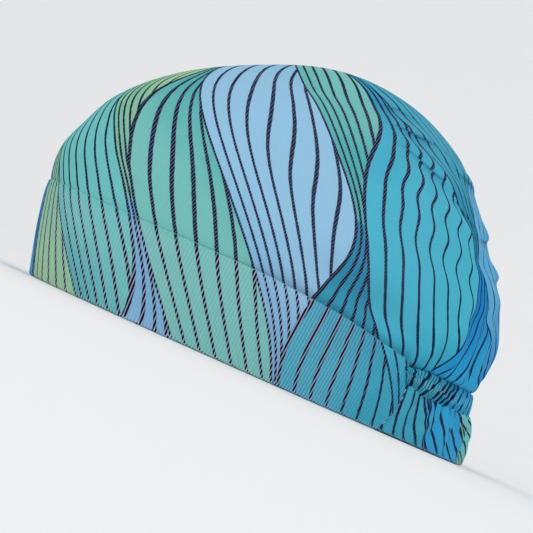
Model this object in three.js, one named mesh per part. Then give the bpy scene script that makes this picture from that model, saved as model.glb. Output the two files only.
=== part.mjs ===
// A light stretch skull cap for running or cycling, resting on its rim.
// Four sewn pieces: a single-layer crown, a doubled front band, a gathered back band and,
// along the top of the back band, the ruffled casing that holds the elastic.
// Millimetres, +Z up. The origin is on the floor under the middle of the cap.
// The front of the cap is towards -Y, and the wearer's left side is towards +X.

import * as THREE from "three";

// Outline of the cap at each height: reach from its axis to the front, the back and the sides.
const OUTLINE = [
  { height: 0.0, front: 93.0, back: 95.5, side: 79.0 },
  { height: 18.0, front: 97.5, back: 91.5, side: 81.5 },
  { height: 36.0, front: 101.0, back: 88.0, side: 83.0 },
  { height: 54.0, front: 102.5, back: 86.5, side: 82.5 },
  { height: 71.0, front: 98.5, back: 80.0, side: 78.5 },
  { height: 87.0, front: 86.5, back: 70.5, side: 70.5 },
  { height: 102.0, front: 66.5, back: 59.0, side: 59.5 },
  { height: 114.5, front: 43.5, back: 44.5, side: 43.5 },
  { height: 123.5, front: 21.5, back: 24.0, side: 24.0 },
  { height: 126.5, front: 0.0, back: 0.0, side: 0.0 },
];
const APEX = OUTLINE.length - 1;

// How square the plan is: 2 is an ellipse. The rim is a little blunter than the crown's top.
const SQUARENESS = { front: 2.4, back: 2.3, apex: 2.0 };

// The outline's own axis stands a little behind the middle of the cap.
const AXIS_Y = 2.9;

// The side seams, where the front band ends and the gathered back begins.
const SEAM_BEARING = 118;

// Height of the front band's top edge, by bearing from the front.
const BAND_TOP = [
  { bearing: 0, height: 38.0 },
  { bearing: 35, height: 36.5 },
  { bearing: 75, height: 36.0 },
  { bearing: 95, height: 34.0 },
  { bearing: 118, height: 29.0 },
];
const BACK_BAND_TOP = 19.0;
const CASING_TOP = 27.5;

const CROWN_THICK = 1.2;
const BAND_THICK = 2.0;
const BACK_BAND_THICK = 1.8;
const CASING_THICK = 2.2;
const GAP = 0.3;
const LAP_GAP = 0.9;
const SEAM_ALLOWANCE = 6.0;
const CROWN_SETBACK = 0.7;
const SETBACK_RISE = 5.0;

// Soft folds of the loose crown: bearing and height of the middle, half lengths round and up
// the cap, how far it stands out (+) or sinks in (-), and its climb in mm for each degree.
const CROWN_FOLDS = [
  { bearing: 101, height: 41, round: 17, up: 9, out: -5.0, climb: -0.28 },
  { bearing: 107, height: 56, round: 22, up: 12, out: 1.8, climb: -0.2 },
  { bearing: 128, height: 38, round: 11, up: 13, out: 2.4, climb: 0.3 },
  { bearing: 146, height: 41, round: 9, up: 12, out: -2.0, climb: 0.0 },
  { bearing: 162, height: 45, round: 14, up: 10, out: 2.6, climb: 0.2 },
  { bearing: 152, height: 59, round: 20, up: 4.5, out: -1.9, climb: 0.35 },
  { bearing: 160, height: 70, round: 22, up: 5.5, out: 1.6, climb: 0.3 },
  { bearing: 146, height: 79, round: 24, up: 4.0, out: -1.7, climb: 0.35 },
  { bearing: 154, height: 90, round: 26, up: 5.0, out: 1.5, climb: 0.22 },
  { bearing: 142, height: 98, round: 28, up: 3.6, out: -1.5, climb: 0.2 },
  { bearing: 66, height: 112, round: 34, up: 5.0, out: -1.2, climb: 0.1 },
];

// Gathers: how many flutes fill the back, how far they stand out, and where they fade.
const FLUTES = 13;
const FLUTE_OUT = 1.5;
const FLUTE_FADE_UP = 26;
const FLUTE_DRIFT = 0.7;
const DRAPE_RISE = 9;
const BACK_FLUTE_OUT = 1.3;
const BACK_FLUTE_AT_RIM = 0.2;
const ELASTIC_PULL = 2.0;
const ELASTIC_PULL_UP = 7;
const RUFFLES = 36;
const RUFFLE_OUT = 0.8;
const RUFFLE_AT_EDGE = 0.35;
const RUFFLE_STEPS = 4;

// Facets.
const FRONT_STEPS = 40;
const BACK_STEPS = 52;
const CROWN_LEVELS = 16;
const CROWN_LEVEL_SPREAD = 1.2;
const BAND_LEVELS = 4;
const BACK_BAND_LEVELS = 3;
const CASING_LEVELS = 2;

const radians = (degrees) => (degrees * Math.PI) / 180;
const bell = (x) => Math.exp(-x * x);
const clamp01 = (x) => Math.min(1, Math.max(0, x));
const ease = (x) => clamp01(x) ** 2 * (3 - 2 * clamp01(x));

// Value of an outline column at a fractional row, on a smooth curve through the rows.
// Past the apex the reaches come back on the other side, so the top is round.
function outlineAt(column, row) {
  const value = (i) => {
    if (i < 0) return 2 * OUTLINE[0][column] - OUTLINE[1][column];
    if (i <= APEX) return OUTLINE[i][column];
    const mirrored = OUTLINE[2 * APEX - i][column];
    return column === "height" ? mirrored : -mirrored;
  };
  const i = Math.min(APEX - 1, Math.floor(row));
  const f = row - i;
  const [a, b, c, d] = [value(i - 1), value(i), value(i + 1), value(i + 2)];
  return b + 0.5 * f * (c - a + f * (2 * a - 5 * b + 4 * c - d + f * (3 * (b - c) + d - a)));
}

// The fractional row at a height, by halving.
function rowAtHeight(height) {
  let [low, high] = [0, APEX];
  for (let i = 0; i < 40; i += 1) {
    const middle = (low + high) / 2;
    if (outlineAt("height", middle) < height) low = middle;
    else high = middle;
  }
  return low;
}

// Straight lines through a table of bearings and heights, the same on both sides of the cap.
function bandTopAt(bearing) {
  const b = Math.min(Math.abs(bearing), SEAM_BEARING);
  const next = Math.max(1, BAND_TOP.findIndex((row) => row.bearing >= b));
  const [from, to] = [BAND_TOP[next - 1], BAND_TOP[next]];
  const share = (b - from.bearing) / (to.bearing - from.bearing);
  return from.height + (to.height - from.height) * share;
}

// Share of the way across the gathered back: 0 at the left seam and 1 at the right one.
const backShare = (bearing) => (bearing - SEAM_BEARING) / (360 - 2 * SEAM_BEARING);
const inBack = (bearing) => clamp01(Math.sin(Math.PI * clamp01(backShare(bearing))) * 3);

// Bearing measured from the front on either side, 0 to 180.
const fromFront = (bearing) => (bearing > 180 ? 360 - bearing : Math.abs(bearing));

// Top edge of what the crown is sewn behind: the front band, or the casing at the back.
const coverTop = (bearing) => (
  fromFront(bearing) <= SEAM_BEARING ? bandTopAt(bearing) : CASING_TOP
);

// A flute's cosine wave, whose phase drifts a little so that no two gathers are alike.
function fluteWave(bearing) {
  const share = backShare(bearing);
  return Math.cos(2 * Math.PI * (FLUTES * share + FLUTE_DRIFT * Math.sin(5 * share + 0.6)));
}

// The elastic draws the whole of the back in, most of all at the casing's own height.
function elasticPull(bearing, height) {
  const casingMiddle = (BACK_BAND_TOP + CASING_TOP) / 2;
  return -ELASTIC_PULL * inBack(bearing) * bell((height - casingMiddle) / ELASTIC_PULL_UP);
}

// How far the loose crown stands out above the edge that it is sewn to.
function crownDrape(bearing, height) {
  const side = fromFront(bearing);
  const above = height - coverTop(bearing);
  let out = FLUTE_OUT * inBack(bearing) * fluteWave(bearing) * bell(above / FLUTE_FADE_UP);
  for (const fold of CROWN_FOLDS) {
    const round = (side - fold.bearing) / fold.round;
    const up = (height - fold.height - fold.climb * (side - fold.bearing)) / fold.up;
    out += fold.out * bell(round) * bell(up);
  }
  return out * ease(above / DRAPE_RISE);
}

// How far the gathered back band stands out: fullest half way down, and almost flat at the rim.
function backBandDrape(bearing, height) {
  const share = clamp01(height / BACK_BAND_TOP);
  const fullness = BACK_FLUTE_AT_RIM + (1 - BACK_FLUTE_AT_RIM) * Math.sin(Math.PI * share);
  return BACK_FLUTE_OUT * fullness * inBack(bearing) * fluteWave(bearing);
}

// A point of the smooth outline: a superellipse in plan, with its own reach to front and back.
function outlinePoint(bearing, row) {
  const [s, c] = [Math.sin(radians(bearing)), Math.cos(radians(bearing))];
  const end = c > 0 ? "front" : "back";
  const power = SQUARENESS[end] + (SQUARENESS.apex - SQUARENESS[end]) * (row / APEX);
  const reach = outlineAt(end, row);
  const side = outlineAt("side", row);
  const sum = Math.abs(s / side) ** power + Math.abs(c / reach) ** power;
  const radius = sum ** (-1 / power);
  return new THREE.Vector3(radius * s, AXIS_Y - radius * c, outlineAt("height", row));
}

// A point of the cap's cloth, moved out from the outline along its normal.
function clothPoint(bearing, row, offset) {
  if (row > APEX - 1e-6) return new THREE.Vector3(0, AXIS_Y, OUTLINE[APEX].height + offset);
  const here = outlinePoint(bearing, row);
  const round = outlinePoint(bearing + 0.5, row).sub(outlinePoint(bearing - 0.5, row));
  const up = outlinePoint(bearing, Math.min(APEX - 1e-3, row + 0.02));
  up.sub(outlinePoint(bearing, Math.max(0, row - 0.02)));
  const out = round.cross(up).normalize();
  return here.addScaledVector(out, elasticPull(bearing, here.z) + offset);
}

// A closed wall between an outer and an inner skin. Both are grids over bearings and levels:
// a closed one runs all the way round, and one with an apex comes to a single point on top.
function wallGeometry({ bearings, closed, levels, apex, outer, inner }) {
  const positions = [];
  const faces = [];
  const skins = [outer, inner].map((skin) => {
    const rings = [];
    for (let level = 0; level <= levels; level += 1) {
      if (apex && level === levels) {
        positions.push(...skin(0, 1).toArray());
        rings.push(bearings.map(() => positions.length / 3 - 1));
        continue;
      }
      rings.push(bearings.map((bearing) => {
        positions.push(...skin(bearing, level / levels).toArray());
        return positions.length / 3 - 1;
      }));
    }
    return rings;
  });
  const quad = (a, b, c, d) => {
    if (new Set([a, b, c]).size === 3) faces.push(a, b, c);
    if (new Set([a, c, d]).size === 3) faces.push(a, c, d);
  };
  const [o, n] = skins;
  const count = bearings.length;
  for (let i = 0; i < (closed ? count : count - 1); i += 1) {
    const j = (i + 1) % count;
    for (let level = 0; level < levels; level += 1) {
      quad(o[level][i], o[level][j], o[level + 1][j], o[level + 1][i]);
      quad(n[level][j], n[level][i], n[level + 1][i], n[level + 1][j]);
    }
    quad(n[0][i], n[0][j], o[0][j], o[0][i]);
    if (!apex) quad(o[levels][i], o[levels][j], n[levels][j], n[levels][i]);
  }
  if (!closed) {
    const last = count - 1;
    for (let level = 0; level < levels; level += 1) {
      quad(n[level][0], o[level][0], o[level + 1][0], n[level + 1][0]);
      quad(o[level][last], n[level][last], n[level + 1][last], o[level + 1][last]);
    }
  }
  const geometry = new THREE.BufferGeometry();
  geometry.setAttribute("position", new THREE.Float32BufferAttribute(positions, 3));
  geometry.setIndex(faces);
  geometry.computeVertexNormals();
  return geometry;
}

// Bearings from one angle to another in equal steps, both ends included.
function spread(from, to, steps) {
  return Array.from({ length: steps + 1 }, (_, i) => from + ((to - from) * i) / steps);
}

// Degrees that a gap of a few tenths of a millimetre takes at the side seams.
const SEAM_GAP = (GAP / OUTLINE[0].side) * (180 / Math.PI);
const frontBearings = spread(-SEAM_BEARING, SEAM_BEARING, FRONT_STEPS);
const backBearings = spread(SEAM_BEARING, 360 - SEAM_BEARING, BACK_STEPS);

// The crown's first level is its sewn edge, the second lies level with the top of what covers
// it, and the rest climb to the apex, closest together where the cloth comes out. It passes
// inside its cover and comes out to just behind the cover's face.
function crownSkin(depth) {
  return (bearing, share) => {
    const cover = fromFront(bearing) < SEAM_BEARING ? BAND_THICK : CASING_THICK;
    const tucked = -(cover + LAP_GAP);
    const edge = rowAtHeight(coverTop(bearing) - SEAM_ALLOWANCE);
    const top = rowAtHeight(coverTop(bearing));
    const climb = (share * CROWN_LEVELS - 1) / (CROWN_LEVELS - 1);
    const row = climb < 0 ? edge : top + (APEX - top) * climb ** CROWN_LEVEL_SPREAD;
    const height = outlineAt("height", row);
    const emerged = ease((height - coverTop(bearing)) / SETBACK_RISE);
    const offset = tucked + (-CROWN_SETBACK - tucked) * emerged;
    return clothPoint(bearing, row, offset + crownDrape(bearing, height) - depth);
  };
}

// A band's skin between two heights, at an offset that may change along it.
function bandSkin(lowAt, topAt, offsetAt) {
  return (bearing, share) => {
    const height = lowAt(bearing) + (topAt(bearing) - lowAt(bearing)) * share;
    const point = clothPoint(bearing, rowAtHeight(height), offsetAt(bearing, height));
    point.z = height;
    return point;
  };
}

function crownGeometry() {
  return wallGeometry({
    bearings: [...frontBearings.slice(0, -1), ...backBearings.slice(0, -1)],
    closed: true,
    levels: CROWN_LEVELS,
    apex: true,
    outer: crownSkin(0),
    inner: crownSkin(CROWN_THICK),
  });
}

function frontBandGeometry() {
  const skin = (depth) => bandSkin(() => 0, bandTopAt, () => -depth);
  return wallGeometry({
    bearings: spread(-SEAM_BEARING + SEAM_GAP / 2, SEAM_BEARING - SEAM_GAP / 2, FRONT_STEPS),
    closed: false,
    levels: BAND_LEVELS,
    outer: skin(0),
    inner: skin(BAND_THICK),
  });
}

function backBandGeometry() {
  const skin = (depth) => bandSkin(
    () => 0,
    () => BACK_BAND_TOP - GAP,
    (bearing, height) => backBandDrape(bearing, height) - depth,
  );
  return wallGeometry({
    bearings: spread(SEAM_BEARING + SEAM_GAP / 2, 360 - SEAM_BEARING - SEAM_GAP / 2, BACK_STEPS),
    closed: false,
    levels: BACK_BAND_LEVELS,
    outer: skin(0),
    inner: skin(BACK_BAND_THICK),
  });
}

// The casing's face rises and falls in tight ruffles, deepest half way up.
function casingGeometry() {
  const ruffle = (bearing, height) => {
    const share = (height - BACK_BAND_TOP) / (CASING_TOP - BACK_BAND_TOP);
    const wave = 0.5 + 0.5 * Math.cos(2 * Math.PI * RUFFLES * backShare(bearing));
    return RUFFLE_OUT * wave * (RUFFLE_AT_EDGE + (1 - RUFFLE_AT_EDGE) * Math.sin(Math.PI * share));
  };
  const from = SEAM_BEARING + SEAM_GAP / 2;
  return wallGeometry({
    bearings: spread(from, 360 - from, RUFFLES * RUFFLE_STEPS),
    closed: false,
    levels: CASING_LEVELS,
    outer: bandSkin(() => BACK_BAND_TOP, () => CASING_TOP, ruffle),
    inner: bandSkin(() => BACK_BAND_TOP, () => CASING_TOP, () => -CASING_THICK),
  });
}

const aquaJersey = new THREE.MeshStandardMaterial({ color: 0x58b4c4, roughness: 0.85 });
const skyTwill = new THREE.MeshStandardMaterial({ color: 0x7fb9d6, roughness: 0.85 });
const azureJersey = new THREE.MeshStandardMaterial({ color: 0x2fa0cc, roughness: 0.85 });
const ruffledJersey = new THREE.MeshStandardMaterial({ color: 0x2b93b5, roughness: 0.85 });

function piece(name, geometry, material) {
  const mesh = new THREE.Mesh(geometry, material);
  mesh.name = name;
  return mesh;
}

const cap = new THREE.Group();
cap.add(
  piece("crown", crownGeometry(), aquaJersey),
  piece("front_band", frontBandGeometry(), skyTwill),
  piece("back_band", backBandGeometry(), azureJersey),
  piece("elastic_casing", casingGeometry(), ruffledJersey),
);

export default cap;
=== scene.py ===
import math

import bpy
import numpy as np
from mathutils import Matrix, Vector


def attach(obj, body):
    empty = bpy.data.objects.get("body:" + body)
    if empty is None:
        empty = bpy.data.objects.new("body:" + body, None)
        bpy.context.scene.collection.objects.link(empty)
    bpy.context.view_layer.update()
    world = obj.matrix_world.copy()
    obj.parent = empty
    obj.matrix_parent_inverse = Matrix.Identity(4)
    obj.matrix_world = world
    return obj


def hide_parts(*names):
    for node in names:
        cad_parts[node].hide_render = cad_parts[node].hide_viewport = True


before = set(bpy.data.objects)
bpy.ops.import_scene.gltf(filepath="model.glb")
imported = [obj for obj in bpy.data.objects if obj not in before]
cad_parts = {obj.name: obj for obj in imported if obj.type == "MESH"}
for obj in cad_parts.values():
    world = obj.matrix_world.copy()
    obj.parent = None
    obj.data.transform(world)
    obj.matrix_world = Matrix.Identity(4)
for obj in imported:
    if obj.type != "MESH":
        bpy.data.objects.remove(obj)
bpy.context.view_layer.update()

# A light stretch skull cap that rests on its rim. The front is towards -Y and the wearer's
# left side towards +X. Lengths are millimetres until a mesh is made, and bearings are degrees
# round the cap from its front, positive towards the wearer's left.
MM = 0.001

# Outline of the cap at each height: reach from its axis to the front, the back and the sides.
OUTLINE = {
    "height": [0.0, 18.0, 36.0, 54.0, 71.0, 87.0, 102.0, 114.5, 123.5, 126.5],
    "front": [93.0, 97.5, 101.0, 102.5, 98.5, 86.5, 66.5, 43.5, 21.5, 0.0],
    "back": [95.5, 91.5, 88.0, 86.5, 80.0, 70.5, 59.0, 44.5, 24.0, 0.0],
    "side": [79.0, 81.5, 83.0, 82.5, 78.5, 70.5, 59.5, 43.5, 24.0, 0.0],
}
APEX = len(OUTLINE["height"]) - 1
AXIS_Y = 2.9
SQUARENESS = {"front": 2.4, "back": 2.3, "apex": 2.0}
# The cap's middle radius in plan, for lengths of cloth round it.
PLAN_RADIUS = 86.0

# How fine the tables are that rows and lengths are read from.
HEIGHT_TABLE = 4001
LENGTH_TABLE = 2001

SEAM_BEARING = 118.0
SEAM_BOW = 2.9
BAND_TOP = {"bearing": [0, 35, 75, 95, 118], "height": [38.0, 36.5, 36.0, 34.0, 29.0]}
BACK_BAND_TOP = 18.9
CASING_TOP = 27.5
CASING_END = {"low": 2.2, "high": 1.3}
SEAM_ALLOWANCE = 6.0
# How many degrees the back's pieces start before the front band ends.
BACK_BAND_LAP = 1.2
CASING_LAP = 0.6

CROWN_THICK = 0.9
BAND_THICK = 2.0
BACK_BAND_THICK = 1.6
CASING_THICK = 2.2
LAP_GAP = 0.15
BAND_EDGE_THICK = 0.7
BAND_EDGE_SLOPE = 0.3
BAND_PUFF = 1.1
BAND_SLACK = 0.3
CROWN_SETBACK = 0.5
SETBACK_RISE = 3.0
SIDE_DIP = 2.3
SIDE_DIP_UP = 4.5
SWAY_OUT = 0.35

# Soft folds of the loose crown: bearing and height of the middle, half lengths round and up
# the cap, how far it stands out (+) or sinks in (-), and its climb in mm for each degree.
CROWN_FOLDS = [
    (101, 41, 17, 9.0, -5.0, -0.28),
    (107, 56, 22, 12.0, 1.8, -0.20),
    (128, 38, 11, 13.0, 2.4, 0.30),
    (146, 41, 9, 12.0, -2.0, 0.00),
    (162, 45, 14, 10.0, 2.6, 0.20),
    (152, 59, 20, 4.5, -1.9, 0.35),
    (162, 63, 22, 6.5, 1.7, 0.20),
    (146, 78, 24, 5.0, -1.5, 0.30),
    (148, 87, 14, 5.5, -1.1, 0.10),
    (142, 96, 28, 5.0, -1.2, 0.20),
    (180, 110, 60, 16.0, -1.0, 0.00),
    (66, 112, 34, 5.0, -1.2, 0.10),
    (0, 67, 34, 11.0, -2.5, 0.00),
    (0, 85, 44, 12.0, -1.4, 0.00),
    (26, 57, 12, 2.6, 0.5, -0.60),
]

# Creases of the upper back, where the cloth above hangs a little over the cloth below and
# the print is tucked away across them: bearing and height of the middle, half length round
# the cap, how far the cloth above stands out, and the climb.
CREASES = [
    (100, 117, 12, 0.5, -0.04),
    (109, 110, 12, 0.8, -0.05),
    (112, 99, 11, 0.7, -0.26),
    (128, 91, 8, 0.7, -0.45),
    (144, 104, 13, 0.8, -0.10),
    (154, 86, 15, 0.9, 0.10),
    (166, 73, 16, 0.8, 0.05),
]
CREASE_STEP = 0.75
CREASE_REACH = 4.5
CREASE_LIMIT = 8

# Ripples of the slack cloth of the upper back, one above the other and a little askew.
RIPPLE_RISE = 15.5
RIPPLE_TURNS = 7
RIPPLE_OUT = 0.3
RIPPLE_SWAY = 0.18

# Gathers of the back. A flute is a wide soft gather and a pucker a narrow one near the elastic.
FLUTES = 13
FLUTE_OUT = 1.5
FLUTE_FADE_UP = 26.0
FLUTE_DRIFT = 0.7
DRAPE_RISE = 9.0
BACK_FLUTE_OUT = 1.3
BACK_FLUTE_AT_RIM = 0.2
BACK_GATHERS = {"middle": 27, "narrow": 55}
BACK_GATHER_OUT = {"middle": 0.55, "narrow": 0.45}
BACK_END_TUCK = 1.2
PUCKERS = 37
PUCKER_OUT = 0.55
PUCKER_UP = 9
ELASTIC_PULL = 2.0
ELASTIC_PULL_UP = 7.0
RUFFLES = 136
RUFFLE_OUT = 1.1
RUFFLE_LEAN = 0.030
CASING_ROUND = 0.5

# The print: tall leaf shapes side by side, drawn with lines that run up the cap. They meet at
# one point high on the right-hand side, given by its bearing and its place between the
# middle of the top, 0, and the rim, 1, on a map of the cap that keeps angles.
LEAVES = 24
MEETING = {"bearing": -70.0, "out": 0.24}
LEAF_WIDTH = 22.5
LEAF_HALF_LENGTH = 68.0
LEAF_SWELL = 0.44
LINE_GAP = 6.3
PRINT_LEAN = 0.3
PRINT_START = 0.36
PRINT_SCALE_LIMITS = (0.4, 12)
# How much more of the print goes by where cloth is gathered, and how many leaves further on
# the back band was cut.
BACK_CLOSENESS = 1.8
CASING_CLOSENESS = 1.5
BACK_LEAVES_ON = 4

RIB_PITCH = 1.25
RIB_RELIEF = 0.06
RIB_LEAN = 0.05
GRAIN_PITCH = 0.95
GRAIN_LEAN = 18.0

STITCHES = 6
STITCH_LENGTH = 2.2
STITCH_HEIGHTS = (2.5, 16.5)
STITCH_SUNK = -0.78
THREAD_RADIUS = 0.2


def bell(x):
    return np.exp(-x * x)


def ease(x):
    x = np.clip(x, 0, 1)
    return x * x * (3 - 2 * x)


def outline_at(column, row):
    """A Catmull-Rom curve through a column of OUTLINE, at fractional rows. Past the apex the
    reaches come back on the other side, so the top is round."""
    values = np.array(OUTLINE[column])
    before = 2 * values[0] - values[1]
    after = values[-2] if column == "height" else -values[-2]
    table = np.concatenate([[before], values, [after]])
    i = np.clip(np.floor(row).astype(int), 0, APEX - 1)
    f = row - i
    a, b, c, d = table[i], table[i + 1], table[i + 2], table[i + 3]
    return b + 0.5 * f * (c - a + f * (2 * a - 5 * b + 4 * c - d + f * (3 * (b - c) + d - a)))


def row_at_height(height):
    """The fractional row at a height, read off a fine table of the height curve."""
    rows = np.linspace(0, APEX, HEIGHT_TABLE)
    return np.interp(height, outline_at("height", rows), rows)


def outline_point(bearing, row):
    """A superellipse in plan: radius = (|sin/side|^p + |cos/reach|^p)^(-1/p), where the reach
    is the front's or the back's, and p eases from the rim's squareness to the apex's."""
    bearing, row = np.broadcast_arrays(bearing, row)
    s, c = np.sin(np.radians(bearing)), np.cos(np.radians(bearing))
    ahead = c > 0
    at_rim = np.where(ahead, SQUARENESS["front"], SQUARENESS["back"])
    power = at_rim + (SQUARENESS["apex"] - at_rim) * row / APEX
    reach = np.where(ahead, outline_at("front", row), outline_at("back", row))
    side = outline_at("side", row)
    radius = (np.abs(s / side) ** power + np.abs(c / reach) ** power) ** (-1 / power)
    return np.stack([radius * s, AXIS_Y - radius * c, outline_at("height", row)], -1)


def from_front(bearing):
    """Bearing from the front on either side, 0 to 180."""
    return np.abs((bearing + 180) % 360 - 180)


def back_share(bearing):
    """Share of the way across the gathered back: 0 at the left seam and 1 at the right one."""
    return (bearing % 360 - SEAM_BEARING) / (360 - 2 * SEAM_BEARING)


def in_back(bearing):
    return np.clip(np.sin(np.pi * np.clip(back_share(bearing), 0, 1)) * 3, 0, 1)


def band_top(bearing):
    return np.interp(from_front(bearing), BAND_TOP["bearing"], BAND_TOP["height"])


def casing_edges(bearing):
    """Heights of the casing's low and high edges. It is narrower where it starts, at the side
    seams, over a twelfth of its length."""
    share = back_share(bearing)
    start = 1 - ease(np.minimum(share, 1 - share) * 12)
    return BACK_BAND_TOP + CASING_END["low"] * start, CASING_TOP - CASING_END["high"] * start


def cover_top(bearing):
    """Top edge of what the crown is sewn behind: the front band, or the casing at the back."""
    side = from_front(bearing)
    return np.where(side <= SEAM_BEARING, band_top(bearing), casing_edges(bearing)[1])


def flute_wave(bearing):
    """A cosine over the share of the back, whose phase drifts so that no two gathers match."""
    share = back_share(bearing)
    return np.cos(2 * np.pi * (FLUTES * share + FLUTE_DRIFT * np.sin(5 * share + 0.6)))


def cloth_point(bearing, row, offset):
    """The outline's point moved along the outline's normal by the offset, plus the pull of
    the elastic, a bell round the casing's height. The normal is the cross product of small
    steps round and up the outline."""
    here = outline_point(bearing, row)
    around = outline_point(bearing + 0.5, row) - outline_point(bearing - 0.5, row)
    high = np.minimum(APEX - 1e-3, row + 0.02)
    low = np.maximum(0, row - 0.02)
    up = outline_point(bearing, high) - outline_point(bearing, low)
    out = np.cross(around, up)
    out /= np.linalg.norm(out, axis=-1, keepdims=True)
    middle = (BACK_BAND_TOP + CASING_TOP) / 2
    pull = -ELASTIC_PULL * in_back(bearing) * bell((here[..., 2] - middle) / ELASTIC_PULL_UP)
    return here + out * (pull + offset)[..., None]


def crease_place(crease, bearing, height):
    """How far a crease stands out at a bearing, a bell round its middle, and the height above
    it in mm. The creases wander a little, differently on the two sides of the cap."""
    middle, level, half_length, out, climb = crease
    away = from_front(bearing) - middle
    turn = np.radians(bearing)
    wander = 0.7 * np.sin(7 * turn + level) + 0.3 * np.sin(17 * turn)
    return out * bell(away / half_length), height - level - climb * away + wander


def crease_fields(bearing, height):
    """For the material: the height above the nearest crease, in mm and within its limit, and
    how deep it is. A crease counts as further off past its tips, by as much as the limit, and
    one fades half way to the next."""
    depths, heights = zip(*(crease_place(crease, bearing, height) for crease in CREASES))
    depths, heights = np.stack(depths), np.stack(heights)
    off = np.abs(heights) + CREASE_LIMIT * ease(1 - depths / 0.15)
    nearest = np.argmin(off, 0)[None]
    depth, up = (np.take_along_axis(each, nearest, 0)[0] for each in (depths, heights))
    order = np.sort(off, 0)
    depth = depth * ease((order[1] - order[0]) / 4) * ease((122 - height) / 5)
    return {"crease_depth": depth, "crease_up": np.clip(up, -CREASE_LIMIT, CREASE_LIMIT)}


def ripple(bearing, row):
    """Where a place lies in the ripples, as an angle, and how strong they are there: full on
    the upper back, and none on the front half or near the rim."""
    along = meridian_length(bearing, row)
    turn = np.radians(bearing)
    angle = 2 * np.pi * along / RIPPLE_RISE + RIPPLE_TURNS * turn + 1.2 * np.sin(3 * turn + along / 19)
    strength = ease((from_front(bearing) - 86) / 18) * (0.25 + 0.75 * ease((along - 58) / 26))
    return angle, strength * (1 - ease((along - 128) / 14)) * ease((along - 30) / 12)


def crown_relief(bearing, row):
    """How far the crown's cloth stands out: flutes and puckers that fade upwards, bells for
    the soft folds, for each crease a step that fades up and down, ripples, a slow sway, and a
    dip just above the band, towards its ends."""
    height = outline_at("height", row)
    above = height - cover_top(bearing)
    out = FLUTE_OUT * in_back(bearing) * flute_wave(bearing) * bell(above / FLUTE_FADE_UP)
    side = from_front(bearing)
    for middle, level, half_round, half_up, depth, climb in CROWN_FOLDS:
        up = (height - level - climb * (side - middle)) / half_up
        out = out + depth * bell((side - middle) / half_round) * bell(up)
    for crease in CREASES:
        strength, up = crease_place(crease, bearing, height)
        out = out + strength * np.tanh(up / CREASE_STEP) * bell(up / CREASE_REACH)
    turn = np.radians(bearing)
    sway = np.sin(3 * turn + height / 17) * np.sin(height / 23 + 0.7) + np.sin(5 * turn - height / 11)
    angle, strength = ripple(bearing, row)
    out = out + RIPPLE_OUT * strength * np.cos(angle)
    out = (out + SWAY_OUT * sway * (1 - ease((height - 95) / 28))) * ease(above / DRAPE_RISE)
    out = out - SIDE_DIP * ease((side - 62) / 26) * ease((126 - side) / 8) * bell(above / SIDE_DIP_UP)
    share = back_share(bearing)
    pucker = np.cos(2 * np.pi * (PUCKERS * share + 0.9 * np.sin(8 * share + above / PUCKER_UP)))
    return out + PUCKER_OUT * in_back(bearing) * pucker * bell(above / PUCKER_UP) * ease(above / 3)


def side_steps():
    """A fine table of rows, and the lengths between them on the side's outline."""
    rows = np.linspace(0, APEX, LENGTH_TABLE)
    return rows, np.hypot(np.diff(outline_at("side", rows)), np.diff(outline_at("height", rows)))


def meridian_length(bearing, row):
    """Length of cloth up the cap from the rim, measured on the side's outline and eased over
    the apex, where all the meridians meet."""
    rows, steps = side_steps()
    length = np.concatenate([[0], np.cumsum(steps)])
    left = length[-1] - np.interp(row, rows, length)
    return length[-1] - (np.hypot(left, 14.0) - 14.0) + 0 * bearing


def map_radius(row):
    """Distance from the top's middle on a map that keeps angles: the exponential of minus the
    sum of cloth length over radius, from 1 at the rim to 0 at the top."""
    rows, steps = side_steps()
    radius = (outline_at("front", rows) + outline_at("back", rows) + 2 * outline_at("side", rows)) / 4
    turns = np.cumsum(steps * 2 / np.maximum(radius[1:] + radius[:-1], 0.01))
    table = np.exp(-np.concatenate([[0], turns]))
    table[-1] = 0
    return np.interp(row, rows, table)


def wrap(steps):
    """Takes whole turns of the print out of a difference of leaf numbers."""
    return steps - LEAVES * np.round(steps / LEAVES)


def steepness(points, values):
    """How fast leaf numbers change over a grid of points, from the slopes along its rows and
    columns: the length of the gradient on the surface, for each mm."""
    def slope(grid):
        step = np.pad(wrap(np.diff(grid, axis=0)), ((1, 1), (0, 0)), "edge")
        return (step[1:] + step[:-1]) / 2

    up, along = (np.gradient(points, axis=axis) for axis in (0, 1))
    rise, run = slope(values), slope(values.T).T
    uu, ua, aa = (np.sum(a * b, -1) for a, b in ((up, up), (up, along), (along, along)))
    square = (aa * rise ** 2 - 2 * ua * rise * run + uu * run ** 2) / (uu * aa - ua ** 2)
    return np.sqrt(np.maximum(square, 0))


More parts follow.
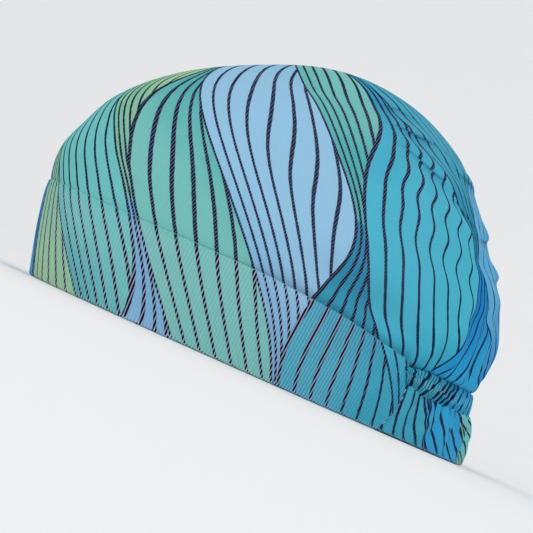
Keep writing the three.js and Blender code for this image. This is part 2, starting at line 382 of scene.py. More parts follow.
def print_fields(bearing, row, fold_side=1.0, closeness=1.0, leaves_on=0, lies_at=None):
    """Where a printed skin lies in the print, for its material. Leaf place counts leaves
    round the meeting point, by the angle round it on the map, and leaf turn is the angle
    whose cosine swells and pinches the leaves along the cloth. The lines lean to one side as
    they rise, and slow sine waves and the ripples bend them so that no two leaves match.
    Line weight is the lines' thickness against the front's. Print scale is how fast the
    leaves go by on the cloth, against the flat print. It is measured where the cloth lies,
    a bearing and a row, which isn't where the print is drawn from if the cloth is gathered."""
    bearing, row = np.broadcast_arrays(bearing, row)
    place = outline_point(bearing, row)
    x, y = place[..., 0], place[..., 1]
    along = meridian_length(bearing, row) * fold_side
    middle = MEETING["out"]
    spot = map_radius(row) * np.exp(1j * np.radians(bearing - MEETING["bearing"])) - middle
    leaf = (np.angle(spot) / (2 * np.pi) % 1) * LEAVES
    bend = 2.6 * np.sin(along / 27 + y / 38) + 3.6 * np.sin(along / 52 + x / 60 + 0.8)
    bend = bend + 0.8 * np.sin(along / 9.5 + y / 13) * np.sin(along / 37 + x / 40)
    ripples, strength = ripple(bearing, row)
    bend = bend + RIPPLE_SWAY * strength * np.sin(ripples)
    leaf = (leaf + (PRINT_LEAN * along + bend) / LEAF_WIDTH + PRINT_START) * closeness + leaves_on
    surface = outline_point(*lies_at) if lies_at else place
    scale = np.clip(steepness(surface, leaf) * LEAF_WIDTH, *PRINT_SCALE_LIMITS)
    angle = np.pi * along / LEAF_HALF_LENGTH + 1.1 * np.sin(y / 47 + 0.9) + 0.014 * x + 0.5
    weight = 1 - 0.36 * ease((from_front(bearing) - 96) / 34)
    return {"leaf_place": leaf, "leaf_turn": angle, "print_scale": scale, "line_weight": weight}


def grid_faces(rows, columns, closed_rows, closed_columns):
    """Four corners for each cell of a grid whose vertices run along its rows."""
    r = np.arange(rows if closed_rows else rows - 1)
    c = np.arange(columns if closed_columns else columns - 1)
    r, c = np.meshgrid(r, c, indexing="ij")
    r2, c2 = (r + 1) % rows, (c + 1) % columns
    corners = np.stack([r * columns + c, r * columns + c2, r2 * columns + c2, r2 * columns + c], -1)
    return corners.reshape(-1, 4)


def new_mesh(name, points, quads, triangles, fields):
    """A mesh object from vertex positions in mm, four- and three-cornered faces, and values
    that are kept on its vertices for the material."""
    mesh = bpy.data.meshes.new(name)
    loops = np.concatenate([quads.reshape(-1), triangles.reshape(-1)]).astype(np.int32)
    sizes = np.concatenate([np.full(len(quads), 4), np.full(len(triangles), 3)])
    starts = np.concatenate([[0], np.cumsum(sizes)[:-1]]).astype(np.int32)
    mesh.vertices.add(len(points))
    mesh.vertices.foreach_set("co", (points * MM).astype(np.float32).reshape(-1))
    mesh.loops.add(len(loops))
    mesh.loops.foreach_set("vertex_index", loops)
    mesh.polygons.add(len(sizes))
    mesh.polygons.foreach_set("loop_start", starts)
    mesh.update(calc_edges=True)
    mesh.validate()
    mesh.polygons.foreach_set("use_smooth", np.ones(len(mesh.polygons), bool))
    for key, values in fields.items():
        corners = values[loops]
        # Leaf numbers start again where the print has gone once round, so each face's
        # corners are brought to within half a round of its first.
        if key == "leaf_place":
            first = np.concatenate([np.repeat(values[faces[:, 0]], faces.shape[1])
                                    for faces in (quads, triangles) if len(faces)])
            corners = first + wrap(corners - first)
        attribute = mesh.attributes.new(key, "FLOAT", "CORNER")
        attribute.data.foreach_set("value", corners.astype(np.float32))
    piece = bpy.data.objects.new(name, mesh)
    bpy.context.scene.collection.objects.link(piece)
    return piece


def edge_rows(outer, inner, outer_next, steps):
    """Rows that turn a cloth edge from its inner to its outer face: half an ellipse whose
    half width is half the cloth's thickness and whose reach lies straight on from the face."""
    middle, half = (outer + inner) / 2, (outer - inner) / 2
    on = outer - outer_next
    on /= np.linalg.norm(on, axis=-1, keepdims=True)
    reach = np.linalg.norm(half, axis=-1, keepdims=True)
    turns = np.linspace(-np.pi / 2, np.pi / 2, steps + 2)[1:-1]
    return np.stack([middle + half * np.sin(t) + on * reach * np.cos(t) for t in turns])


def stacked_fields(outer, inner, low_steps, high_steps):
    """Each field's rows in a wall's own order: inner face downwards, low edge, outer face
    upwards and, on a wall with a top edge, that edge. An edge's rows go evenly from face to
    face."""
    low, high = (np.linspace(0, 1, steps + 2)[1:-1, None] for steps in (low_steps, high_steps))
    stacked = {}
    for key in outer:
        o, i = outer[key], inner[key]
        low_edge, high_edge = i[0] + (o[0] - i[0]) * low, o[-1] + (i[-1] - o[-1]) * high
        stacked[key] = np.concatenate([i[::-1], low_edge, o, high_edge])
    return stacked


def strip_wall(name, outer_face, inner_face, edge_steps=4):
    """A strip of cloth with two faces, each given as a grid of points from its low edge to its
    high one and their fields, with rounded edges between them and flat ends."""
    (outer, outer_fields), (inner, inner_fields) = outer_face, inner_face
    low = edge_rows(outer[0], inner[0], outer[1], edge_steps)
    high = edge_rows(outer[-1], inner[-1], outer[-2], edge_steps)[::-1]
    rows = np.concatenate([inner[::-1], low, outer, high])
    fields = stacked_fields(outer_fields, inner_fields, edge_steps, edge_steps)
    count, columns = rows.shape[:2]
    quads = grid_faces(count, columns, True, False)
    first = np.arange(count // 2 - 1)
    start = len(inner) + edge_steps // 2 - 1
    near = (start - first) % count
    far = (start + 1 + first) % count
    near2, far2 = (near - 1) % count, (far + 1) % count
    ends = []
    for column, flip in ((0, False), (columns - 1, True)):
        corners = np.stack([near, far, far2, near2], -1) * columns + column
        ends.append(corners[:, ::-1] if flip else corners)
    quads = np.concatenate([quads, *ends])
    flat = {key: value.reshape(-1) for key, value in fields.items()}
    return new_mesh(name, rows.reshape(-1, 3), quads, np.zeros((0, 3), int), flat)


def dome_wall(name, outer_face, inner_face, tops, edge_steps=3):
    """A closed dome of cloth: both faces run round the whole cap and each ends in one point
    on top, and a rounded edge joins them below."""
    (outer, outer_fields), (inner, inner_fields) = outer_face, inner_face
    low = edge_rows(outer[0], inner[0], outer[1], edge_steps)
    rows = np.concatenate([inner[::-1], low, outer])
    fields = stacked_fields(outer_fields, inner_fields, edge_steps, 0)
    count, columns = rows.shape[:2]
    quads = grid_faces(count, columns, False, True)
    ring = np.arange(columns)
    after = (ring + 1) % columns
    inner_pole, outer_pole = count * columns, count * columns + 1
    last = (count - 1) * columns
    under = np.stack([np.full(columns, inner_pole), after, ring], -1)
    over = np.stack([np.full(columns, outer_pole), last + ring, last + after], -1)
    points = np.concatenate([rows.reshape(-1, 3), tops])
    flat = {key: np.append(value, [value[0].mean(), value[-1].mean()])
            for key, value in fields.items()}
    return new_mesh(name, points, quads, np.concatenate([under, over]), flat)


def band_thick(height, top):
    """The band is thinner at its turned-in top edge, where its two layers are sewn flat."""
    return BAND_THICK + (BAND_EDGE_THICK - BAND_THICK) * ease((height - top + 8) / 7)


def band_end(height):
    """Bearing of the side seam at a height: it bows towards the back between rim and top."""
    return SEAM_BEARING + SEAM_BOW * np.sin(np.pi * np.clip(height / band_top(SEAM_BEARING), 0, 1))


def front_band():
    """The doubled band. Its columns are spread evenly from one bowed side seam to the other,
    four to each of the twill's upright ribs, which lean a little and stand out as a cosine.
    Its other relief is a slow sine along it and a puffed end over the gathers."""
    columns, levels = 1161, 34
    low, high = 0.9, BAND_EDGE_THICK / 2
    share = np.linspace(-1, 1, columns)
    up = np.linspace(0, 1, levels)[:, None]

    def face(inside, fold_side):
        top = band_top(share * SEAM_BEARING)
        height = low + (top - high - low) * up
        bearing = share * band_end(height)
        row = row_at_height(height)
        arc = np.radians(bearing) * PLAN_RADIUS
        rib = arc / RIB_PITCH - RIB_LEAN * height
        puff = BAND_PUFF * bell((from_front(bearing) - 112) / 6) * np.sin(np.pi * height / top)
        slack = BAND_SLACK * np.sin(np.radians(bearing) * 4 + height / 12)
        slope = BAND_EDGE_SLOPE * ease((height - top + 5) / 5)
        depth = slope + (band_thick(height, top) - slope) * inside
        ribs = RIB_RELIEF * np.cos(2 * np.pi * rib) * (1 - 0.4 * inside)
        points = cloth_point(bearing, row, puff + slack + ribs - depth)
        fields = print_fields(bearing, row, fold_side)
        fields["rib"] = rib + 0 * height
        side = from_front(bearing)
        ahead_of_edge = ease((side - 55) / 20) + ease((top - height) / 4.5)
        grin = (1 - 0.8 * ease((side - 98) / 16)) * np.clip(0.2 + ahead_of_edge, 0, 1)
        fields["grin"] = grin + 0.8 * bell((height - low) / 0.5)
        return points, fields

    return strip_wall("front_band_cloth", face(0.0, 1.0), face(1.0, -1.0))


def back_band():
    """The gathered, stretchy jersey below the casing. Many narrow gathers at its top merge into wide
    shallow ones that are almost flat at the rim."""
    columns, levels, low = 560, 24, 1.05
    share = np.linspace(0, 1, columns)
    up = np.linspace(0, 1, levels)[:, None]

    def face(depth, fold_side):
        start = band_end(BACK_BAND_TOP * up) - BACK_BAND_LAP
        bearing = start + (360 - 2 * start) * share
        height = low + (casing_edges(bearing)[0] - low) * up
        row = row_at_height(height)
        rise = height / BACK_BAND_TOP
        fullness = BACK_FLUTE_AT_RIM + (1 - BACK_FLUTE_AT_RIM) * np.sin(np.pi * rise)
        wide = BACK_FLUTE_OUT * fullness * flute_wave(bearing)
        fan = share + 0.012 * np.sin(23 * share + 2 * rise)
        middle = np.cos(2 * np.pi * BACK_GATHERS["middle"] * fan + 1.2 * np.sin(6 * rise)) * rise
        narrow = np.cos(2 * np.pi * BACK_GATHERS["narrow"] * fan + 2.0) * rise ** 2
        gathers = wide + BACK_GATHER_OUT["middle"] * middle + BACK_GATHER_OUT["narrow"] * narrow
        tucked = -BACK_END_TUCK * (1 - np.clip(np.minimum(share, 1 - share) * 30, 0, 1))
        relief = gathers * in_back(bearing) + tucked - depth
        points = cloth_point(bearing, row, relief)
        # The gathers draw the print's lines together towards the two ends of the casing.
        drawn = share + 0.5 * rise * np.sin(2 * np.pi * share) / (2 * np.pi)
        fields = print_fields(start + (360 - 2 * start) * drawn, row, fold_side, BACK_CLOSENESS,
                              BACK_LEAVES_ON, (bearing, row))
        fields["line_weight"] = 0.95 + 0 * bearing
        fields["grain_across"] = np.radians(bearing) * PLAN_RADIUS / GRAIN_PITCH
        fields["grain_up"] = height / GRAIN_PITCH
        fields["grin"] = 0.5 + 1.5 * bell((height - low) / 0.5)
        fields["wrong_side"] = 0 * height
        return points, fields

    return strip_wall("back_band_cloth", face(0.0, 1.0), face(BACK_BAND_THICK, -1.0))


def elastic_casing():
    """The ruffled strip over the elastic: narrow ruffles, deepest half way up, that differ in
    depth and spacing, on a strip that is itself a little rounded. They lean towards the
    middle of the back as they rise, and the grid's columns lean with them."""
    columns, levels = 1361, 16
    share = np.linspace(0, 1, columns)
    up = np.linspace(0, 1, levels)[:, None]
    lean = RUFFLE_LEAN * np.cos(np.pi * share) * ease(np.minimum(share, 1 - share) * 14)

    def face(ruffle_share, depth):
        start = band_end(BACK_BAND_TOP + (CASING_TOP - BACK_BAND_TOP) * up) - CASING_LAP
        bearing = start + (360 - 2 * start) * (share + lean * (up - 0.5))
        bottom, top = casing_edges(bearing)
        height = bottom + 0.6 + (top - bottom - 1.1) * up
        row = row_at_height(height)
        drift = 0.9 * np.sin(13 * share + 1) + 0.5 * np.sin(41 * share)
        bend = 0.1 * np.sin(3 * np.pi * up + 17 * share)
        wave = 0.5 + 0.5 * np.cos(2 * np.pi * (RUFFLES * share + drift + bend))
        uneven = 0.75 + 0.25 * np.sin(61 * share + 2) * np.sin(23 * share)
        calm = 1 - 0.5 * bell((share - 0.5) / 0.2)
        rounded = np.sin(np.pi * (0.08 + 0.84 * up))
        ruffle = RUFFLE_OUT * wave ** 1.3 * uneven * calm * (0.3 + 0.7 * rounded)
        relief = ruffle * ruffle_share + CASING_ROUND * rounded - depth
        points = cloth_point(bearing, row, relief)
        # The print's lines are drawn up the ruffles with the cloth.
        middle = row_at_height((BACK_BAND_TOP + CASING_TOP) / 2) + 0 * bearing
        fields = print_fields(start + (360 - 2 * start) * share, middle,
                              closeness=CASING_CLOSENESS, lies_at=(bearing, row))
        fields["line_weight"] = 1.0 + 0 * wave
        # Valley and crest say where painted shade between the ruffles and a painted highlight on their
        # crests go.
        fields["valley"] = (1 - wave) * calm + 0 * height
        fields["crest"] = wave * calm * rounded
        return points, fields

    return strip_wall("elastic_casing_cloth", face(1.0, 0.0), face(0.4, CASING_THICK))


def crown():
    """The loose single layer. Below the band's top edge it lies inside the band, and above it
    comes out to just behind the band's face, with the crown's folds added."""
    front_columns, back_columns, outer_levels, inner_levels = 270, 210, 150, 46
    front = np.linspace(-SEAM_BEARING, SEAM_BEARING, front_columns, endpoint=False)
    back = np.linspace(SEAM_BEARING, 360 - SEAM_BEARING, back_columns, endpoint=False)
    bearing = np.concatenate([front, back])[None, :]
    side = from_front(bearing)
    sewn_to_band = side <= SEAM_BEARING
    # The hidden lower edge eases from the band's line to the casing's.
    eased = ease((side - SEAM_BEARING + 6) / 12)
    lower = band_top(bearing) + (casing_edges(bearing)[1] - band_top(bearing)) * eased
    edge = row_at_height(lower - SEAM_ALLOWANCE)

    def face(levels, depth, wrong_side):
        up = np.linspace(0, 1, levels + 1)[:-1, None]
        row = edge + (APEX - edge) * up
        height = outline_at("height", row)
        band = band_thick(height, cover_top(bearing))
        tucked = -(np.where(sewn_to_band, band, CASING_THICK) + LAP_GAP)
        emerged = ease((height - cover_top(bearing) + 0.6) / SETBACK_RISE)
        offset = tucked + (-CROWN_SETBACK - tucked) * emerged + crown_relief(bearing, row)
        points = cloth_point(bearing + 0 * row, row, offset - depth)
        fields = print_fields(bearing + 0 * row, row)
        fields["wrong_side"] = wrong_side + 0 * row
        fields.update(crease_fields(bearing, height))
        y, length = outline_point(bearing, row)[..., 1], meridian_length(bearing, row)
        c, s = math.cos(math.radians(GRAIN_LEAN)), math.sin(math.radians(GRAIN_LEAN))
        fields["grain_across"] = (y * c - length * s) / GRAIN_PITCH
        fields["grain_up"] = (y * s + length * c) / GRAIN_PITCH
        off_top = ease((np.hypot(points[..., 0], points[..., 1]) - 25) / 30)
        ahead = 1 - ease((side - 92 - 0.18 * height) / 30)
        fields["grin"] = ahead * off_top * ease((np.abs(np.sin(np.radians(bearing))) - 0.2) / 0.4)
        return points, fields

    top = OUTLINE["height"][APEX] - CROWN_SETBACK
    tops = np.array([[0, AXIS_Y, top - CROWN_THICK], [0, AXIS_Y, top]])
    outer_face, inner_face = face(outer_levels, 0.0, 0.0), face(inner_levels, CROWN_THICK, 1.0)
    return dome_wall("crown_cloth", outer_face, inner_face, tops)


def seam_stitches():
    """Short threads that show along the lower half of each side seam. Each is a tube round a
    slanting line on the back band's face, and its radius swells and tapers as the root of
    half a sine."""
    segments, ring = 7, 8
    t = np.linspace(0, 1, segments)
    side = np.repeat([-1.0, 1.0], STITCHES)[:, None]
    height = np.tile(np.linspace(*STITCH_HEIGHTS, STITCHES), 2)[:, None] + STITCH_LENGTH * t
    bearing = side * (band_end(height) + 0.2 + 0.55 * t)
    row = row_at_height(height)
    sunk = STITCH_SUNK + 0 * height
    on = cloth_point(bearing, row, sunk + 0.12 * np.sin(np.pi * t))
    out = cloth_point(bearing, row, sunk + 1) - cloth_point(bearing, row, sunk)
    run = np.gradient(on, axis=1)
    across = np.cross(run, out)
    across /= np.linalg.norm(across, axis=-1, keepdims=True)
    radius = THREAD_RADIUS * np.sqrt(np.sin(np.pi * (0.03 + 0.94 * t)))
    phi = np.linspace(0, 2 * np.pi, ring, endpoint=False)[:, None]
    spoke = np.cos(phi) * out[:, :, None] + np.sin(phi) * across[:, :, None]
    tubes = on[:, :, None] + radius[:, None, None] * spoke
    count = len(side)
    tips = on[:, [0, -1]] + np.array([-0.03, 0.03])[:, None] * run[:, [0, -1]]
    cells = grid_faces(segments, ring, False, True)
    each = np.arange(count)[:, None, None] * segments * ring
    quads = (cells + each).reshape(-1, 4)
    corner = np.arange(ring)
    after = (corner + 1) % ring
    last = (segments - 1) * ring
    tip = count * segments * ring + 2 * np.arange(count)[:, None] + 0 * corner
    start = np.arange(count)[:, None] * segments * ring
    low = np.stack([tip, start + after, start + corner], -1)
    high = np.stack([tip + 1, start + last + corner, start + last + after], -1)
    points = np.concatenate([tubes.reshape(-1, 3), tips.reshape(-1, 3)])
    triangles = np.concatenate([low, high]).reshape(-1, 3)
    return new_mesh("side_seam_stitches", points, quads, triangles, {})


def linear(hex_colour):
    """An sRGB hex colour as linear red, green, blue and an alpha of one."""
    parts = [int(hex_colour[i:i + 2], 16) / 255 for i in (1, 3, 5)]
    return [x / 12.92 if x <= 0.04045 else ((x + 0.055) / 1.055) ** 2.4 for x in parts] + [1.0]


def add_node(tree, kind, inputs=None, **settings):
    """Adds a node. Inputs maps a socket's name or number to another socket or a value."""
    node = tree.nodes.new(kind)
    for key, value in settings.items():
        setattr(node, key, value)
    for key, value in (inputs or {}).items():
        if isinstance(value, bpy.types.NodeSocket):
            tree.links.new(value, node.inputs[key])
        else:
            node.inputs[key].default_value = value
    return node


def new_material(name):
    material = bpy.data.materials.new(name)
    material.use_nodes = True
    material.node_tree.nodes.clear()
    return material, material.node_tree


# Colours of the finishes apart from the dyes, and of painted shade and a painted highlight.
NAVY_INK = "#070d39"
BARE_YARN = "#d9d3e4"
WRONG_SIDE = "#dde5ea"
CREASE_SHADOW = "#0c2c4a"
# Painted highlight for the ruffles' crests, and painted shade for the hollows between them.
RUFFLE_HIGHLIGHT = "#a6dff0"
RUFFLE_SHADOW = "#0b3a5e"
THREAD = "#c9bcd6"
PAPER = "#f4f4f4"

# The dye colours of the leaves, and the deeper ink that each runs to at its tips.
DYES = {
    "turquoise": ("#6cc2c0", "#38a9b1"),
    "aqua": ("#48b4cc", "#2497bb"),
    "azure": ("#2fa2d2", "#0f80c4"),
    "sky": ("#92c3e1", "#70afd8"),
    "teal": ("#3ca4be", "#1b85a6"),
    "pale green": ("#9fcc9f", "#76bd9f"),
    "sea green": ("#74c0b8", "#4aadad"),
    "blue": ("#5aadd8", "#308dcb"),
}

# How many of each fine or cloudy thing there are in a metre. Ink bleeds along yarns about
# 2.5 mm apart, dye is cloudy over 30 mm or so, knitted loops are about half a millimetre
# across, and thread is twisted about every 0.6 mm.
BLEEDS = 400.0
CLOUDS = 32.0
LOOPS = 1500.0
TWISTS = 1600.0

# A crease swallows a few mm of cloth, so the print slips sideways across it, this far and
# over this reach, in mm.
SLIP = 0.8
SLIP_REACH = 4.0

# Half a line's thickness in mm: what it has at least, what it gains where lines are wide
# apart, and the most it may be of the gap.
LINE_HALF = {"least": 0.42, "gain": 0.03, "most": 0.4}

# What a material's step may be apart from a sum: the node it adds, its settings, the sockets
# that its terms go into, and the output that is kept.
RANGE = ("Value", "From Min", "From Max", "To Min", "To Max")
STEPS = {
    "noise": ("ShaderNodeTexNoise", {}, ("Vector", "Scale", "Detail"), 0),
    "range": ("ShaderNodeMapRange", {}, RANGE, 0),
    "smooth range": ("ShaderNodeMapRange", {"interpolation_type": "SMOOTHSTEP"}, RANGE, 0),
    "mix": ("ShaderNodeMix", {"data_type": "RGBA"}, (0, 6, 7), 2),
}

PRINT_FIELDS = ("leaf_place", "leaf_turn", "print_scale", "line_weight", "crease_up", "crease_depth")

# The print's drawing, a step a row: a name, what is done and what goes into it. A leaf lies
# between its left edge, leaf + side * swell, and its right edge, leaf + 1 - side * swell, in
# leaf widths. Its lines follow the left edge, closer together where the leaf is narrow, and
# the right edge cuts them off. Distances are made square to the lines, and are millimetres.
# Ink bleeds a tenth of a millimetre either way. The last rows pick each leaf's dye, and its
# depth, which is greatest where the leaf is narrow and varies with the clouds.
PRINT_STEPS = [
    ("away", "ABSOLUTE", "crease_up"),
    ("slip", "MULTIPLY_ADD", "away", -1 / SLIP_REACH, 1.0),
    ("slip", "MAXIMUM", "slip", 0.0),
    ("slip", "MULTIPLY", "slip", "slip"),
    ("slip", "MULTIPLY", "slip", "crease_depth"),
    ("above", "SIGN", "crease_up"),
    ("slip", "MULTIPLY", "slip", "above"),
    ("place", "MULTIPLY_ADD", "slip", SLIP / LEAF_WIDTH, "leaf_place"),
    ("wave", "COSINE", "leaf_turn"),
    ("swell", "MULTIPLY", "wave", LEAF_SWELL),
    ("guess", "FLOOR", "place"),
    ("odd", "FLOORED_MODULO", "guess", 2.0),
    ("side", "MULTIPLY_ADD", "odd", -2.0, 1.0),
    ("push", "MULTIPLY", "side", "swell"),
    ("part", "SUBTRACT", "place", "guess"),
    ("before", "LESS_THAN", "part", "push"),
    ("far", "SUBTRACT", 1.0, "push"),
    ("beyond", "GREATER_THAN", "part", "far"),
    ("leaf", "SUBTRACT", "guess", "before"),
    ("leaf", "ADD", "leaf", "beyond"),
    ("odd", "FLOORED_MODULO", "leaf", 2.0),
    ("side", "MULTIPLY_ADD", "odd", -2.0, 1.0),
    ("push", "MULTIPLY", "side", "swell"),
    ("width", "MULTIPLY_ADD", "push", -2.0, 1.0),
    ("share", "MULTIPLY", "width", 1 / (1 + 2 * LEAF_SWELL)),
    ("from_left", "SUBTRACT", "place", "leaf"),
    ("from_left", "SUBTRACT", "from_left", "push"),
    ("from_right", "SUBTRACT", "width", "from_left"),
    ("climb", "SINE", "leaf_turn"),
    ("climb", "MULTIPLY", "climb", LEAF_SWELL * math.pi * LEAF_WIDTH / LEAF_HALF_LENGTH),
    ("climb", "MULTIPLY", "climb", "climb"),
    ("steep", "MULTIPLY_ADD", "print_scale", "print_scale", "climb"),
    ("steep", "SQRT", "steep"),
    ("gap", "MULTIPLY", "share", "print_scale"),
    ("gap", "SQRT", "gap"),
    ("gap", "MULTIPLY", "gap", LINE_GAP),
    ("line", "MULTIPLY", "from_left", LEAF_WIDTH),
    ("line", "DIVIDE", "line", "gap"),
    ("line", "PINGPONG", "line", 0.5),
    ("line", "MULTIPLY", "line", "gap"),
    ("line", "DIVIDE", "line", "steep"),
    ("edge", "MULTIPLY", "from_right", LEAF_WIDTH),
    ("edge", "DIVIDE", "edge", "steep"),
    ("away", "MINIMUM", "line", "edge"),
    ("wide", "DIVIDE", "gap", "print_scale"),
    ("half", "MULTIPLY_ADD", "wide", LINE_HALF["gain"], LINE_HALF["least"]),
    ("half", "MULTIPLY", "half", "line_weight"),
    ("most", "MULTIPLY", "wide", LINE_HALF["most"]),
    ("half", "MINIMUM", "half", "most"),
    ("clear", "SUBTRACT", "away", "half"),
    ("bleed", "noise", "where", BLEEDS, 2.0),
    ("clear", "MULTIPLY_ADD", "bleed", 0.4, "clear"),
    ("clear", "SUBTRACT", "clear", 0.2),
    ("ink", "smooth range", "clear", 0.14, -0.14),
    ("along", "MULTIPLY", "leaf_turn", 1 / (2 * math.pi)),
    ("along", "MULTIPLY_ADD", "odd", 0.5, "along"),
    ("along", "FLOOR", "along"),
    ("dye", "MULTIPLY", "leaf", 3.0),
    ("dye", "MULTIPLY_ADD", "along", 2.0, "dye"),
    ("dye", "ADD", "dye", 0.5),
    ("dye", "FLOORED_MODULO", "dye", float(len(DYES))),
    ("dye", "DIVIDE", "dye", float(len(DYES))),
    ("cloud", "noise", "where", CLOUDS, 3.0),
    ("depth", "MULTIPLY_ADD", "share", -1.5, 0.55),
    ("depth", "MULTIPLY_ADD", "cloud", 1.3, "depth"),
    ("depth", "range", "depth"),
]


def work_out(tree, values, steps):
    """Adds a node for each step and keeps its output under the step's name. A step is a name,
    one of STEPS or else a sum, and its terms, where a word stands for the value of that name."""
    for name, what, *terms in steps:
        a_sum = ("ShaderNodeMath", {"operation": what}, (0, 1, 2), 0)
        kind, settings, sockets, output = STEPS.get(what, a_sum)
        given = (values[term] if isinstance(term, str) else term for term in terms)
        values[name] = add_node(tree, kind, dict(zip(sockets, given)), **settings).outputs[output]


def cloth_values(tree, fields=()):
    """What a cloth's steps start from: the place on the cap and the values kept on its mesh."""
    values = {"where": add_node(tree, "ShaderNodeTexCoord").outputs["Object"]}
    for name in fields:
        values[name] = add_node(tree, "ShaderNodeAttribute", attribute_name=name).outputs["Fac"]
    return values


def printed_dye(tree, *fields):
    """The dyed leaves under navy lines. Of the values it gives, printed is the colour and ink
    how much of it is a line. Fields are the mesh's values that a finish needs besides."""
    values = cloth_values(tree, PRINT_FIELDS + fields)
    work_out(tree, values, PRINT_STEPS)
    # The dyes are the flat steps of a ramp.
    for which, shade in enumerate(("pale", "deep")):
        ramp = add_node(tree, "ShaderNodeValToRGB", {"Fac": values["dye"]})
        stops = ramp.color_ramp
        stops.interpolation = "CONSTANT"
        for i, dye in enumerate(DYES.values()):
            stop = stops.elements[i] if i < 2 else stops.elements.new(i / len(DYES))
            stop.position = i / len(DYES)
            stop.color = linear(dye[which])
        values[shade] = ramp.outputs["Color"]
    work_out(tree, values, [
        ("dyed", "mix", "depth", "pale", "deep"),
        ("printed", "mix", "ink", "dyed", linear(NAVY_INK)),
    ])
    return values


def cloth_shader(tree, colour, height, depth_mm, roughness, sheen):
    """Dull cloth: a rough shader with a low gloss and a faint sheen of fibre ends."""
    bump = add_node(tree, "ShaderNodeBump", {"Height": height, "Distance": depth_mm * MM,
                                             "Strength": 1.0})
    shader = add_node(tree, "ShaderNodeBsdfPrincipled",
                      {"Base Color": colour, "Normal": bump.outputs[0], "Roughness": roughness,
                       "Specular IOR Level": 0.05, "Sheen Weight": sheen, "Sheen Roughness": 0.5})
    add_node(tree, "ShaderNodeOutputMaterial", {"Surface": shader.outputs[0]})


def printed_twill():
    """Polyester twill, sublimation printed and stretched round the brow. Its upright ribs,
    1.25 mm from each other, stand apart and bare yarn grins through between them, most where
    the dye is dark."""
    material, tree = new_material("printed_stretch_twill")
    values = printed_dye(tree, "rib", "grin")
    work_out(tree, values, [
        ("rib", "MULTIPLY", "rib", 2 * math.pi),
        ("ridge", "COSINE", "rib"),
        ("valley", "MULTIPLY", "ridge", -1.0),
        ("valley", "range", "valley", 0.1, 0.95),
        ("strength", "MULTIPLY_ADD", "ink", 0.30, 0.26),
        ("strength", "MULTIPLY", "strength", "grin"),
        ("bare", "MULTIPLY", "strength", "valley"),
        ("colour", "mix", "bare", "printed", linear(BARE_YARN)),
    ])
    cloth_shader(tree, values["colour"], values["ridge"], depth_mm=0.04, roughness=0.8, sheen=0.02)
    return material


def printed_jersey():
    """Thin polyester jersey, sublimation printed on its face. Stretched over the brow it shows
    a fine leaning grain, drawn 0.95 mm apart where the real one is nearer 0.6. Where it hangs
    slack it looks smooth, and its unprinted back is pale with the print showing faintly."""
    material, tree = new_material("printed_stretch_jersey")
    values = printed_dye(tree, "grain_across", "grain_up", "grin", "wrong_side")
    work_out(tree, values, [
        ("across", "MULTIPLY", "grain_across", 2 * math.pi),
        ("across", "COSINE", "across"),
        ("along", "MULTIPLY", "grain_up", 2 * math.pi),
        ("along", "COSINE", "along"),
        ("grain", "MULTIPLY_ADD", "along", 0.3, "across"),
        ("shows", "range", "grain", 0.0, 1.1),
        ("strength", "MULTIPLY_ADD", "ink", 0.12, 0.07),
        ("strength", "MULTIPLY", "strength", "grin"),
        ("bare", "MULTIPLY", "strength", "shows"),
        ("face", "mix", "bare", "printed", linear(BARE_YARN)),
        ("loops", "noise", "where", LOOPS, 1.0),
        ("grain", "MULTIPLY", "grain", "grin"),
        ("relief", "MULTIPLY_ADD", "grain", 0.35, "loops"),
    ])
    # Little light reaches the bottom of a crease, a hair's breadth wide, or the cloth that
    # lies under its lip.
    work_out(tree, values, [
        ("off", "ABSOLUTE", "crease_up"),
        ("slit", "smooth range", "off", 0.62, 0.12),
        ("under", "smooth range", "crease_up", -3.2, 0.0),
        ("below", "LESS_THAN", "crease_up", 0.0),
        ("shade", "MULTIPLY", "under", "below"),
        ("shade", "MULTIPLY", "shade", 0.3),
        ("shade", "MULTIPLY_ADD", "slit", 0.5, "shade"),
        ("shade", "MULTIPLY", "shade", "crease_depth"),
        ("face", "mix", "shade", "face", linear(CREASE_SHADOW)),
        ("wrong", "range", "wrong_side", 0.0, 1.0, 0.0, 0.68),
        ("colour", "mix", "wrong", "face", linear(WRONG_SIDE)),
    ])
    cloth_shader(tree, values["colour"], values["relief"], depth_mm=0.05, roughness=0.78, sheen=0.02)
    return material


def gathered_jersey():
    """The same jersey run over elastic. Its ruffles' crests are painted paler where the print has
    no line, a painted highlight, and painted shade darkens the hollows between them."""
    material, tree = new_material("gathered_stretch_jersey")
    values = printed_dye(tree, "valley", "crest")
    work_out(tree, values, [
        # Painted highlight: the crests are painted paler away from the lines. Painted shade: the
        # hollows are painted darker.
        ("crest_highlight", "POWER", "crest", 3.0),
        ("bare", "SUBTRACT", 1.0, "ink"),
        ("crest_highlight", "MULTIPLY", "crest_highlight", "bare"),
        ("crest_highlight", "MULTIPLY", "crest_highlight", 0.4),
        ("colour", "mix", "crest_highlight", "printed", linear(RUFFLE_HIGHLIGHT)),
        ("shade", "POWER", "valley", 1.6),
        ("shade", "MULTIPLY", "shade", 0.78),
        ("colour", "mix", "shade", "colour", linear(RUFFLE_SHADOW)),
        ("loops", "noise", "where", LOOPS, 1.0),
    ])
    cloth_shader(tree, values["colour"], values["loops"], depth_mm=0.05, roughness=0.78, sheen=0.02)
    return material


def sewing_thread():
    """Spun polyester thread, undyed: dull and a little fuzzy, with a fine twist."""
    material, tree = new_material("spun_polyester_thread")
    values = cloth_values(tree)
    work_out(tree, values, [("twist", "noise", "where", TWISTS, 1.0)])
    cloth_shader(tree, linear(THREAD), values["twist"], depth_mm=0.04, roughness=0.7, sheen=0.1)
    return material


# The backdrop's flat floor and rings on it, the sweep that rises from it and the wall's
# height, in mm.
FLOOR_RINGS = [1, 400, 1000]
FLOOR_RADIUS = 1700
SWEEP_RADIUS = 900
WALL_TOP = 1150


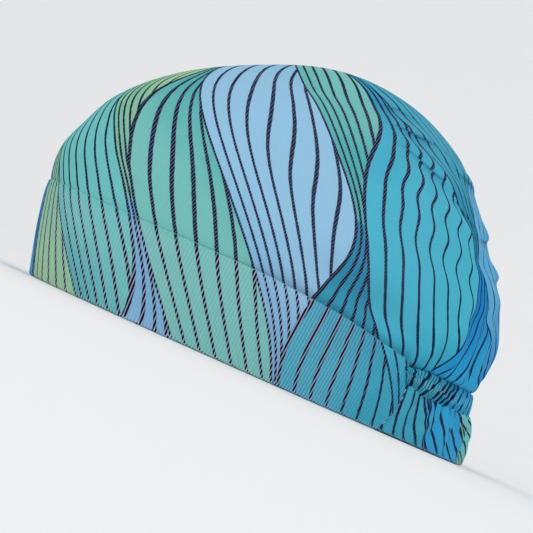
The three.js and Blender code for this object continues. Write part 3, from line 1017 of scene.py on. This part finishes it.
def backdrop():
    """Seamless paper, swept up all round: matt, with no grain to see at this distance."""
    material, tree = new_material("seamless_paper")
    shader = add_node(tree, "ShaderNodeBsdfPrincipled",
                      {"Base Color": linear(PAPER), "Roughness": 0.95, "Specular IOR Level": 0.1})
    add_node(tree, "ShaderNodeOutputMaterial", {"Surface": shader.outputs[0]})
    # A flat disc that sweeps up into a wall: a profile of radius and height, carried round.
    climb = np.linspace(0, 1, 25) * np.pi / 2
    radii = FLOOR_RADIUS + SWEEP_RADIUS * np.sin(climb)
    sweep = np.stack([radii, SWEEP_RADIUS * (1 - np.cos(climb))], -1)
    flat = [[ring, 0] for ring in FLOOR_RINGS]
    profile = np.concatenate([flat, sweep, [[radii[-1], WALL_TOP]]])
    turn = np.linspace(0, 2 * np.pi, 97)[:-1]
    radius, height = profile[:, 0, None], profile[:, 1, None]
    points = np.stack([radius * np.sin(turn), -radius * np.cos(turn), height + 0 * turn], -1)
    count, columns = points.shape[:2]
    quads = grid_faces(count, columns, False, True)[:, ::-1]
    ring = np.arange(columns)
    middle = np.stack([np.full(columns, count * columns), ring, (ring + 1) % columns], -1)
    points = np.concatenate([points.reshape(-1, 3), [[0, 0, 0]]])
    piece = new_mesh("studio_sweep", points, quads, middle, {})
    piece.data.materials.append(material)


# Plain soft light: an even sky, a lamp above to the front, and two weak ones towards the back.
# Here and for the camera, places are in metres.
SKY = {"Color": (0.96, 0.98, 1.0, 1.0), "Strength": 0.72}
LAMPS = [
    {"name": "key", "at": (1.5, -1.5, 1.9), "watts": 15.0},
    {"name": "fill", "at": (1.9, 1.2, 0.8), "watts": 5.0},
    {"name": "back", "at": (-1.7, 1.0, 1.6), "watts": 5.0},
]
LAMP_SIZE = 1.3
LAMP_AIM = Vector((0, 0, 0.06))


def studio():
    world = bpy.data.worlds.new("studio")
    bpy.context.scene.world = world
    world.use_nodes = True
    for key, value in SKY.items():
        world.node_tree.nodes["Background"].inputs[key].default_value = value
    for lamp in LAMPS:
        # A square soft light, aimed at the middle of the cap.
        light = bpy.data.lights.new(lamp["name"], "AREA")
        light.size = LAMP_SIZE
        light.energy = lamp["watts"]
        piece = bpy.data.objects.new(lamp["name"], light)
        bpy.context.scene.collection.objects.link(piece)
        piece.location = lamp["at"]
        piece.rotation_mode = "QUATERNION"
        piece.rotation_quaternion = (LAMP_AIM - Vector(lamp["at"])).to_track_quat("-Z", "Y")
    bpy.context.scene.view_settings.view_transform = "Standard"


# The camera looks at the cap's left side, a little to the front, rolled as in the photo, and
# stays just above the floor that the cap rests on.
CAMERA = {"azimuth": 78.0, "elevation": -2.0, "roll": 24.0, "distance": 0.9, "lens": 151.0}
SENSOR_WIDTH = 36.0
NEAREST_SEEN = 0.02
LOOK_AT = Vector((0, 0, 0.055))
LOOK_OFFSET = {"right": -0.00984, "up": -0.01036}


def camera():
    a, e, r = (math.radians(CAMERA[key]) for key in ("azimuth", "elevation", "roll"))
    back = Vector((math.sin(a) * math.cos(e), -math.cos(a) * math.cos(e), math.sin(e)))
    level = Vector((math.cos(a), math.sin(a), 0))
    plumb = back.cross(level)
    right = level * math.cos(r) + plumb * math.sin(r)
    up = plumb * math.cos(r) - level * math.sin(r)
    data = bpy.data.cameras.new("photo_view")
    data.lens = CAMERA["lens"]
    data.sensor_width = SENSOR_WIDTH
    data.clip_start = NEAREST_SEEN
    piece = bpy.data.objects.new("photo_view", data)
    bpy.context.scene.collection.objects.link(piece)
    place = LOOK_AT + right * LOOK_OFFSET["right"] + up * LOOK_OFFSET["up"]
    place += back * CAMERA["distance"]
    turned = Matrix((right, up, back)).transposed().to_4x4()
    piece.matrix_world = Matrix.Translation(place) @ turned
    bpy.context.scene.camera = piece


camera()
backdrop()
studio()

jersey = printed_jersey()
DRESSED = [
    (crown, "crown", "crown_jersey", jersey),
    (front_band, "front_band", "band_twill", printed_twill()),
    (back_band, "back_band", "back_jersey", jersey),
    (elastic_casing, "elastic_casing", "casing_jersey", gathered_jersey()),
]
for make, node, slot, material in DRESSED:
    piece = make()
    piece.data.materials.append(material)
    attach(piece, "root")
    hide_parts(node)

stitches = seam_stitches()
stitches.data.materials.append(sewing_thread())
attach(stitches, "root")
